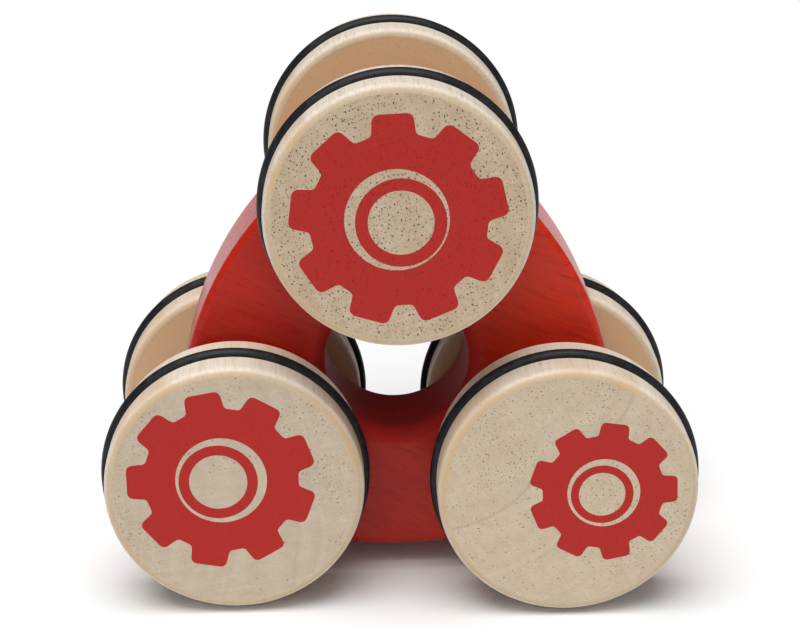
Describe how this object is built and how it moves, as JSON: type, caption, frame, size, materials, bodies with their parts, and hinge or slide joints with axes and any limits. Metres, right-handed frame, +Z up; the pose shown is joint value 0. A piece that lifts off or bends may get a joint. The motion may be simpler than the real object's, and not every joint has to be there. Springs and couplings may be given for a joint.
{
  "type": "triangular roller push toy",
  "caption": "Wooden push toy with a rounded triangular frame, a round hand hole, and a turning axle at each corner that carries a rubber-ringed wheel at each end.",
  "frame": {"origin": "on the floor that the lower tyres stand on, under the middle of the frame", "axes": "+Z up; +X to the right when the front is faced; +Y along the axles, from the front wheels to the back wheels"},
  "size_m": [0.139, 0.0808, 0.1288],
  "materials": {
    "stained_wood": "red stain under satin lacquer, grain showing",
    "pale_wood": "satin clear lacquer, a red gear printed on each outer face",
    "dowel_wood": "sanded, bare",
    "tyre_rubber": "smooth black rubber with a soft sheen"
  },
  "bodies": {
    "frame": {"frame": "stained_wood"},
    "top_wheelset": {"top_axle": "dowel_wood", "top_front_wheel": "pale_wood", "top_front_tyre": "tyre_rubber", "top_back_wheel": "pale_wood", "top_back_tyre": "tyre_rubber"},
    "left_wheelset": {"left_axle": "dowel_wood", "left_front_wheel": "pale_wood", "left_front_tyre": "tyre_rubber", "left_back_wheel": "pale_wood", "left_back_tyre": "tyre_rubber"},
    "right_wheelset": {"right_axle": "dowel_wood", "right_front_wheel": "pale_wood", "right_front_tyre": "tyre_rubber", "right_back_wheel": "pale_wood", "right_back_tyre": "tyre_rubber"}
  },
  "joints": [
    {"name": "top_wheels_spin", "type": "hinge", "parent": "frame", "child": "top_wheelset", "pos_m": [0, 0, 0.09747], "axis": [0, 1, 0], "continuous": true},
    {"name": "left_wheels_spin", "type": "hinge", "parent": "frame", "child": "left_wheelset", "pos_m": [-0.0382, 0, 0.0313], "axis": [0, 1, 0], "continuous": true},
    {"name": "right_wheels_spin", "type": "hinge", "parent": "frame", "child": "right_wheelset", "pos_m": [0.0382, 0, 0.0313], "axis": [0, 1, 0], "continuous": true}
  ]
}
